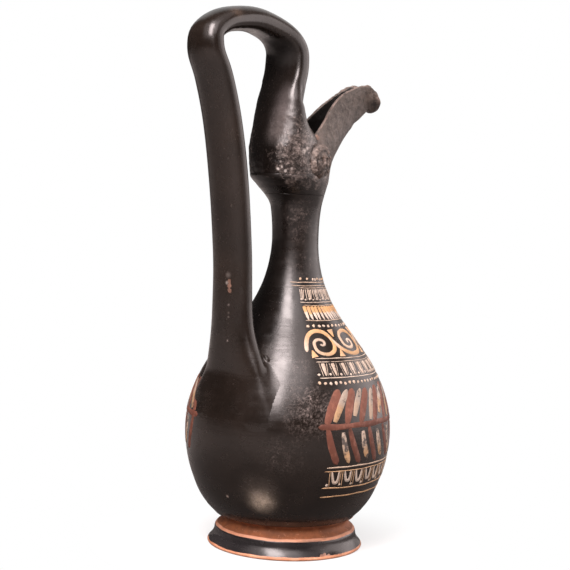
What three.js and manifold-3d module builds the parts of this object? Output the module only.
// A black-gloss pouring jug with an ovoid body, a tall neck, a beaked spout and a high strap handle.
// Millimetres, +Z up. The spout points to +X and the handle stands at -X.
import * as THREE from "three";
import { mergeVertices } from "three/addons/utils/BufferGeometryUtils.js";
import Module from "manifold-3d";

// ---------------------------------------------------------------- driving dimensions
const AXIS_X = 8; // the vessel's axis: the jug is then centred over the origin in plan
const GAP = 0.3; // clearance between two pieces that meet
const SEGMENTS = 36; // facets round a turned piece

const FOOT_TOP = 12.4; // top face of the foot, under the body
const FOOT_BORE_TOP = 24.6; // radius of the hollow under the foot, at its roof
const FOOT_BORE_BASE = 29.4; // and where it meets the standing ring
const LUTE = 0.8; // thickness of the clay slip that joins two pieces

// outer wall of body and neck, [radius, height]
const BODY_OUTER = [
  [29.6, 13.8],
  [31.9, 14.2],
  [33.7, 16],
  [36.6, 19],
  [39.9, 24],
  [42.4, 30],
  [44.5, 36],
  [46.1, 44],
  [46.7, 52],
  [46.3, 60],
  [44.4, 68],
  [41.3, 76],
  [37.0, 84],
  [31.2, 92],
  [25.0, 100],
  [20.6, 106],
  [17.1, 112],
  [15.1, 116.4],
];
const BODY_INNER = [
  [10.9, 116.4],
  [12.9, 112],
  [16.4, 106],
  [20.8, 100],
  [27.0, 92],
  [32.8, 84],
  [37.1, 76],
  [40.2, 68],
  [42.2, 60],
  [42.6, 52],
  [41.8, 44],
  [40.0, 36],
  [37.4, 30],
  [33.6, 24],
  [28.0, 19.4],
  [18.0, 17.2],
];
const BODY_FLOOR_IN = 16.6; // inside of the floor, on the axis
const BODY_FLOOR_OUT = 11.6; // underside of the floor, on the axis

const NECK_BASE = 117.8;
const NECK_OUTER = [
  [14.5, 117.8],
  [12.6, 124],
  [11.4, 130],
  [10.8, 136],
  [10.7, 142],
  [10.9, 148],
  [11.4, 153],
  [11.75, 156],
  [12.0, 157.8],
];
const NECK_INNER = [
  [8.7, 157.8],
  [8.3, 155],
  [7.6, 148],
  [7.4, 142],
  [7.5, 134],
  [8.2, 127],
  [10.4, 117.8],
];

// plan of the mouth at its sharp shoulder: an egg, blunt at the back and drawn out to the spout
const EGG = { centre: -8, back: 16, front: 23.2, half: 16 };
// how far the round neck has turned into that egg, [height, share]
const FLARE = [
  [153, 0],
  [155.4, 0.05],
  [157.8, 0.17],
  [160.4, 0.36],
  [162.6, 0.58],
  [164.8, 0.84],
  [166.3, 0.97],
];
const COLLAR_BASE = 159.0;
const COLLAR_TOP = 166.2;
const COLLAR_WALL = 3.3;
const RIM_BASE = 167.6; // where spout and hood stand on the collar
const JOINT_X = -1.0; // the spout meets the hood of the handle here

// spout: rim point [x, z], keel point [x, z], half width outside and inside, keel thickness
const SPOUT = [
  [-0.85, 167.6, 15.3, 167.6, 15.25, 12.4, 3.0],
  [-0.85, 174.5, 18.3, 174.5, 13.9, 11.0, 3.0],
  [-0.85, 180.2, 21.4, 180.2, 12.5, 9.9, 3.0],
  [-0.85, 184.0, 24.2, 183.8, 11.7, 9.1, 3.0],
  [3.6, 187.0, 27.2, 187.4, 10.0, 7.5, 3.0],
  [10.3, 192.4, 31.0, 192.0, 8.2, 5.9, 3.2],
  [15.4, 197.0, 33.6, 194.2, 7.5, 5.2, 3.5],
  [21.2, 202.4, 36.6, 196.8, 6.7, 4.3, 4.0],
  [28.6, 208.1, 40.2, 198.9, 5.6, 2.8, 4.6],
  [36.7, 210.8, 43.6, 199.6, 5.1, 2.3, 5.2],
  [43.0, 211.3, 46.6, 199.8, 5.0, 2.2, 5.4],
  [47.2, 209.4, 49.6, 201.4, 4.6, 2.0, 4.0],
];
const SPOUT_ARC = 9; // points across half of a spout section

// strap handle: centre line [x, z] and width, from the shoulder up, over and down to the mouth
const STRAP = [
  [-31.0, 60.0, 27],
  [-36.4, 72.0, 30],
  [-38.6, 82.0, 30],
  [-39.7, 91.0, 25.6],
  [-40.4, 100.6, 22.2],
  [-40.9, 113.4, 20.6],
  [-41.2, 124.5, 19.6],
  [-42.7, 144.8, 19.0],
  [-45.6, 166.4, 19.0],
  [-50.1, 188.1, 19.0],
  [-56.8, 207.5, 18.7],
  [-61.2, 217.8, 17.8],
  [-61.0, 223.2, 17.0],
  [-57.5, 227.2, 16.3],
  [-47.3, 232.0, 15.4],
  [-33.2, 233.8, 15.0],
  [-21.0, 231.6, 16.2],
  [-11.6, 227.0, 19.6],
  [-7.6, 220.6, 21.8],
  [-7.8, 213.2, 22.4],
  [-9.8, 205.6, 22.4],
];
const STRAP_IN = 5.5; // from the centre line to the flat face inside the loop
const STRAP_OUT = 4.2; // from the centre line to the crown of the outer face
const STRAP_EDGE = 4.3; // height of the strap's side
const STRAP_STEPS = 54;

// hood: the strap's lower end, spread round the back of the mouth.
// height, x of its front edge, half width there, x of its widest place, half width there,
// x of its back, squareness, half width inside, x of the inside of its back
const HOOD = [
  [200.0, -11.0, 11.2, -13.2, 11.3, -17.6, 4.6, 9.6, -7.2],
  [196.4, -9.6, 11.2, -12.6, 11.5, -18.8, 4.6, 9.3, -8.2],
  [192.8, -8.4, 11.2, -12.0, 11.8, -19.9, 4.4, 9.0, -10.0],
  [189.4, -6.4, 11.3, -11.0, 12.3, -20.9, 4.2, 8.8, -12.4],
  [186.2, -3.6, 11.5, -10.2, 13.0, -21.6, 4.0, 8.8, -14.8],
  [183.6, -1.15, 11.8, -9.8, 13.5, -22.1, 3.8, 9.1, -16.2],
  [178.6, -1.15, 13.0, -9.0, 14.5, -23.1, 3.0, 10.3, -18.2],
  [172.6, -1.15, 14.4, -8.3, 15.4, -23.8, 2.35, 11.6, -19.8],
  [167.6, -1.15, 15.3, -8.0, 16.0, -24.0, 2.0, 12.5, -20.6],
];

const HEAD = { x: -1.8, y: 14.4, z: 172.6, rx: 5.2, ry: 4.4, rz: 6.6 }; // relief heads at the sides of the mouth

// ---------------------------------------------------------------- materials
const gloss = new THREE.MeshStandardMaterial({
  color: 0x2b2523,
  roughness: 0.3,
  metalness: 0,
});
const worn = new THREE.MeshStandardMaterial({
  color: 0x4a403b,
  roughness: 0.55,
  metalness: 0,
});
const clay = new THREE.MeshStandardMaterial({
  color: 0xa85c3e,
  roughness: 0.85,
  metalness: 0,
});

// ---------------------------------------------------------------- geometry helpers
const wasm = await Module();
wasm.setup();

function bare(geometry) {
  const g = geometry.index ? geometry.clone() : mergeVertices(geometry, 1e-4);
  for (const name of Object.keys(g.attributes))
    if (name !== "position") g.deleteAttribute(name);
  return mergeVertices(g, 1e-4);
}

function solid(geometry) {
  const g = bare(geometry);
  return new wasm.Manifold(
    new wasm.Mesh({
      numProp: 3,
      vertProperties: new Float32Array(g.attributes.position.array),
      triVerts: new Uint32Array(g.index.array),
    }),
  );
}

function geometryOf(manifold) {
  const m = manifold.getMesh();
  const n = m.numProp;
  const position = new Float32Array(m.numVert * 3);
  for (let i = 0; i < m.numVert; i++)
    position.set(m.vertProperties.subarray(i * n, i * n + 3), i * 3);
  return new THREE.BufferGeometry()
    .setAttribute("position", new THREE.BufferAttribute(position, 3))
    .setIndex(new THREE.BufferAttribute(new Uint32Array(m.triVerts), 1));
}

// a turned piece: the profile runs [radius, height] round the section, anticlockwise
function turned(profile, segments = SEGMENTS) {
  const points = profile.map(([r, z]) => new THREE.Vector2(r, z));
  return new THREE.LatheGeometry(points, segments).rotateX(Math.PI / 2);
}

// a turned ring: the profile closes on itself
const turnedRing = (profile, segments = SEGMENTS) =>
  turned([...profile, profile[0]], segments);

function fromRings(rings, faces) {
  const n = rings[0].length;
  const position = new Float32Array(rings.length * n * 3);
  rings.forEach((ring, i) =>
    ring.forEach((p, k) => position.set(p.toArray(), (i * n + k) * 3)),
  );
  return new THREE.BufferGeometry()
    .setAttribute("position", new THREE.BufferAttribute(position, 3))
    .setIndex(faces);
}

function skin(count, n, closed) {
  const faces = [];
  for (let i = 0; i < (closed ? count : count - 1); i++) {
    const a = i * n;
    const b = ((i + 1) % count) * n;
    for (let k = 0; k < n; k++) {
      const l = (k + 1) % n;
      faces.push(a + k, a + l, b + l, a + k, b + l, b + k);
    }
  }
  return faces;
}

// rings that follow each other round a wall and close on the first one
const ringWall = (rings) =>
  fromRings(rings, skin(rings.length, rings[0].length, true));

// sections that follow each other along a piece, with both ends closed
function lofted(sections, flat) {
  const n = sections[0].length;
  const faces = skin(sections.length, n, false);
  const cap = (i, turn) => {
    const outline = flat[i].map(([u, v]) => new THREE.Vector2(u, v));
    const at = i * n;
    for (const [a, b, c] of THREE.ShapeUtils.triangulateShape(outline, []))
      faces.push(...(turn ? [at + a, at + c, at + b] : [at + a, at + b, at + c]));
  };
  const anticlockwise =
    THREE.ShapeUtils.area(flat[0].map(([u, v]) => new THREE.Vector2(u, v))) > 0;
  cap(0, anticlockwise);
  cap(sections.length - 1, !anticlockwise);
  return fromRings(sections, faces);
}

// the geometry with its faces turned round if they point inwards
function facingOut(geometry) {
  const g = bare(geometry);
  const p = g.attributes.position;
  const a = new THREE.Vector3();
  const b = new THREE.Vector3();
  const c = new THREE.Vector3();
  let volume = 0;
  for (let i = 0; i < g.index.count; i += 3) {
    a.fromBufferAttribute(p, g.index.getX(i));
    b.fromBufferAttribute(p, g.index.getX(i + 1));
    c.fromBufferAttribute(p, g.index.getX(i + 2));
    volume += a.dot(b.cross(c));
  }
  if (volume < 0) {
    const t = g.index.array;
    for (let i = 0; i < t.length; i += 3) [t[i + 1], t[i + 2]] = [t[i + 2], t[i + 1]];
  }
  return g;
}

const lerpTable = (table, z) => {
  if (z <= table[0][0]) return table[0][1];
  for (let i = 1; i < table.length; i++)
    if (z <= table[i][0]) {
      const [z0, v0] = table[i - 1];
      const [z1, v1] = table[i];
      return v0 + ((v1 - v0) * (z - z0)) / (z1 - z0);
    }
  return table[table.length - 1][1];
};

// ---------------------------------------------------------------- the mouth's plan
// one ring of neck or collar: a circle that turns into the egg with height
function mouthRing(z, radius, wall) {
  const f = lerpTable(FLARE, z);
  const ring = [];
  for (let k = 0; k < SEGMENTS; k++) {
    const u = (2 * Math.PI * k) / SEGMENTS;
    const c = Math.cos(u);
    const s = Math.sin(u);
    const ex = EGG.centre + ((c > 0 ? EGG.front : EGG.back) - wall) * c;
    const ey = (EGG.half - wall) * s;
    ring.push(
      new THREE.Vector3(
        radius * c * (1 - f) + ex * f,
        radius * s * (1 - f) + ey * f,
        z,
      ),
    );
  }
  return ring;
}

// ---------------------------------------------------------------- pieces
const group = new THREE.Group();
group.position.x = AXIS_X;
function piece(name, geometry, material) {
  const mesh = new THREE.Mesh(facingOut(geometry), material);
  mesh.name = name;
  group.add(mesh);
}

// moulded ring foot: standing ring, flaring base, bead, slope and hollow up to the body
piece(
  "foot",
  turnedRing([
    [30.6, 0],
    [34.6, 0],
    [35.3, 0.5],
    [35.3, 1.0],
    [34.6, 1.8],
    [33.6, 2.8],
    [32.8, 4.0],
    [32.5, 5.0],
    [32.5, 6.6],
    [32.2, 7.6],
    [31.6, 8.5],
    [30.5, 9.4],
    [29.4, 10.2],
    [28.9, 11.2],
    [29.6, FOOT_TOP],
    [FOOT_BORE_TOP, FOOT_TOP],
    [FOOT_BORE_BASE, 1.2],
  ]),
  gloss,
);

const footLuteBase = FOOT_TOP + GAP;
piece(
  "foot_lute",
  turnedRing([
    [FOOT_BORE_TOP + 0.4, footLuteBase],
    [29.4, footLuteBase],
    [29.4, footLuteBase + LUTE],
    [FOOT_BORE_TOP + 0.4, footLuteBase + LUTE],
  ]),
  clay,
);

// hollow body: the floor closes it below, the shoulder stays open for the neck
piece(
  "body",
  turned([
    [0, BODY_FLOOR_OUT],
    [14, BODY_FLOOR_OUT + 0.5],
    [22, 13.8],
    ...BODY_OUTER,
    ...BODY_INNER,
    [0, BODY_FLOOR_IN],
  ]),
  gloss,
);

piece(
  "shoulder_lute",
  turnedRing([
    [10.9, 116.7],
    [14.8, 116.7],
    [14.6, 117.5],
    [10.7, 117.5],
  ]),
  clay,
);

piece(
  "neck",
  ringWall([
    ...NECK_OUTER.map(([r, z]) => mouthRing(z, r, 0)),
    ...NECK_INNER.map(([r, z]) => mouthRing(z, r, COLLAR_WALL)),
  ]),
  gloss,
);

piece(
  "neck_lute",
  ringWall([
    mouthRing(158.1, 11.9, 0.15),
    mouthRing(158.7, 11.9, 0.15),
    mouthRing(158.7, 8.9, COLLAR_WALL),
    mouthRing(158.1, 8.9, COLLAR_WALL),
  ]),
  clay,
);

// collar: the neck opens into the egg-shaped mouth
const collarOuter = [159.0, 160.4, 161.6, 162.6, 163.8, 164.8, 165.6, COLLAR_TOP];
piece(
  "mouth_collar",
  ringWall([
    ...collarOuter.map((z) => mouthRing(z, 12.1 + (z - COLLAR_BASE) * 0.1, 0)),
    ...[COLLAR_TOP, 164.4, 162.6, 160.8, COLLAR_BASE].map((z) =>
      mouthRing(z, 8.9 + (z - COLLAR_BASE) * 0.1, COLLAR_WALL),
    ),
  ]),
  worn,
);

piece(
  "rim_lute",
  ringWall([
    mouthRing(166.5, 12.8, 0.25),
    mouthRing(167.3, 12.8, 0.25),
    mouthRing(167.3, 9.6, COLLAR_WALL - 0.2),
    mouthRing(166.5, 9.6, COLLAR_WALL - 0.2),
  ]),
  clay,
);

// spout: an open trough that rises from the front of the mouth to a blunt beak
function spoutSection([rx, rz, kx, kz, outside, inside, keel], arc = SPOUT_ARC) {
  const along = new THREE.Vector3(kx - rx, 0, kz - rz);
  const depth = along.length();
  along.normalize();
  const flat = [];
  for (let k = -arc; k <= arc; k++) {
    const u = (k / arc) * (Math.PI / 2);
    flat.push([depth * Math.cos(u), outside * Math.sin(u)]);
  }
  for (let k = arc; k >= -arc; k--) {
    const u = (k / arc) * (Math.PI / 2);
    flat.push([(depth - keel) * Math.cos(u), inside * Math.sin(u)]);
  }
  const points = flat.map(([t, y]) =>
    new THREE.Vector3(rx, y, rz).addScaledVector(along, t),
  );
  return { flat, points };
}
const spoutSections = SPOUT.map((row) => spoutSection(row));
piece(
  "spout",
  lofted(
    spoutSections.map((s) => s.points),
    spoutSections.map((s) => s.flat),
  ),
  worn,
);

// strap section: [share of the half width, height over the flat inner face]
function strapFlat(half, inner, outer, edge) {
  const corner = [
    [1, edge],
    [0.985, 0.4 * edge],
    [0.93, 0.07 * edge],
    [0.7, 0],
    [0.35, 0],
    [0, 0],
  ];
  const lower = [...corner, ...corner.slice(0, 5).reverse().map(([y, n]) => [-y, n])];
  const crown = [-0.93, -0.78, -0.54, -0.27, 0, 0.27, 0.54, 0.78, 0.93].map((s) => [
    s,
    edge + (inner + outer - edge) * Math.pow(1 - s * s, 0.6),
  ]);
  return [...lower, ...crown].map(([y, n]) => [n - inner, y * half]);
}

function strapSections() {
  const line = new THREE.CatmullRomCurve3(
    STRAP.map(([x, z, w]) => new THREE.Vector3(x, w, z)),
    false,
    "centripetal",
  );
  const sections = [];
  for (let i = 0; i < STRAP_STEPS; i++) {
    const t = i / (STRAP_STEPS - 1);
    const p = line.getPointAt(t);
    const d = line.getTangentAt(t);
    const out = new THREE.Vector3(-d.z, 0, d.x).normalize();
    const flat = strapFlat(p.y / 2, STRAP_IN, STRAP_OUT, STRAP_EDGE);
    sections.push({
      flat,
      points: flat.map(([n, y]) =>
        new THREE.Vector3(p.x, y, p.z).addScaledVector(out, n),
      ),
    });
  }
  return sections;
}

// the outline of the hood's outer face at one height, from its +Y edge round the back to its -Y edge
function hoodOuter([, edgeX, edgeHalf, wideX, half, backX, square]) {
  const outline = [[edgeX, edgeHalf]];
  for (let i = 0; i <= 8; i++) {
    const u = (Math.PI * i) / 8;
    const c = Math.cos(u);
    const power = 2 / square;
    outline.push([
      wideX - (wideX - backX) * Math.pow(Math.sin(u), power),
      half * Math.sign(c) * Math.pow(Math.abs(c), power),
    ]);
  }
  outline.push([edgeX, -edgeHalf]);
  return outline;
}

function hoodSection(row) {
  const [z, edgeX, , , , , , insideHalf, insideX] = row;
  const inner = [];
  for (let j = 0; j <= 8; j++) {
    const u = Math.PI * (1 - j / 8);
    inner.push([
      edgeX + (insideX - edgeX) * Math.sin(u),
      insideHalf * Math.cos(u),
    ]);
  }
  const flat = [...hoodOuter(row), ...inner];
  return { flat, points: flat.map(([x, y]) => new THREE.Vector3(x, y, z)) };
}

const handleSections = [...strapSections(), ...HOOD.map(hoodSection)];
const handleWhole = solid(
  facingOut(
    lofted(
      handleSections.map((s) => s.points),
      handleSections.map((s) => s.flat),
    ),
  ),
);

// the body as a filled form, grown by a clearance, to cut what is joined to it
const bodyForm = (grow) =>
  solid(
    facingOut(
      turned(
        [
          [0, 20],
          ...BODY_OUTER.filter(([, z]) => z > 20).map(([r, z]) => [r + grow, z]),
          [0, 116.4],
        ],
        SEGMENTS,
      ),
    ),
  );
piece("handle", geometryOf(handleWhole.subtract(bodyForm(GAP + LUTE + GAP))), gloss);
piece(
  "handle_root_lute",
  geometryOf(handleWhole.intersect(bodyForm(GAP + LUTE)).subtract(bodyForm(GAP))),
  clay,
);

// relief heads that cover the joints of spout and hood
function mouthForm(grow) {
  const levels = HOOD.filter(([z]) => z < 184).reverse();
  const rows = levels.map((row) => {
    const back = hoodOuter(row);
    const z = row[0];
    const i = SPOUT.findIndex((s) => s[1] >= z - 1e-6);
    const hi = SPOUT[Math.max(i, 1)];
    const lo = SPOUT[Math.max(i, 1) - 1];
    const t = (z - lo[1]) / (hi[1] - lo[1]);
    const keel = lo[2] + (hi[2] - lo[2]) * t;
    const half = lo[4] + (hi[4] - lo[4]) * t;
    const ring = back.map(([x, y]) => [x, y]);
    for (let k = -7; k <= 7; k++) {
      const u = (k / 8) * (Math.PI / 2);
      ring.push([
        JOINT_X + (keel - JOINT_X) * Math.cos(u),
        half * Math.sin(u),
      ]);
    }
    return ring.map(([x, y]) => {
      const d = Math.hypot(x + 3, y);
      return [x + ((x + 3) / d) * grow, y + (y / d) * grow];
    });
  });
  return solid(
    facingOut(
      lofted(
        rows.map((ring, i) =>
          ring.map(
            ([x, y]) =>
              new THREE.Vector3(x, y, levels[i][0] + (i === 0 ? -4 : 0)),
          ),
        ),
        rows,
      ),
    ),
  );
}
const mouth = mouthForm(2 * GAP);
for (const [name, side] of [
  ["head_right", -1],
  ["head_left", 1],
]) {
  const dome = new THREE.SphereGeometry(1, 16, 10)
    .rotateX(Math.PI / 2)
    .scale(HEAD.rx, HEAD.ry, HEAD.rz)
    .translate(HEAD.x, side * HEAD.y, HEAD.z);
  piece(name, geometryOf(solid(facingOut(dome)).subtract(mouth)), worn);
}

export default group;
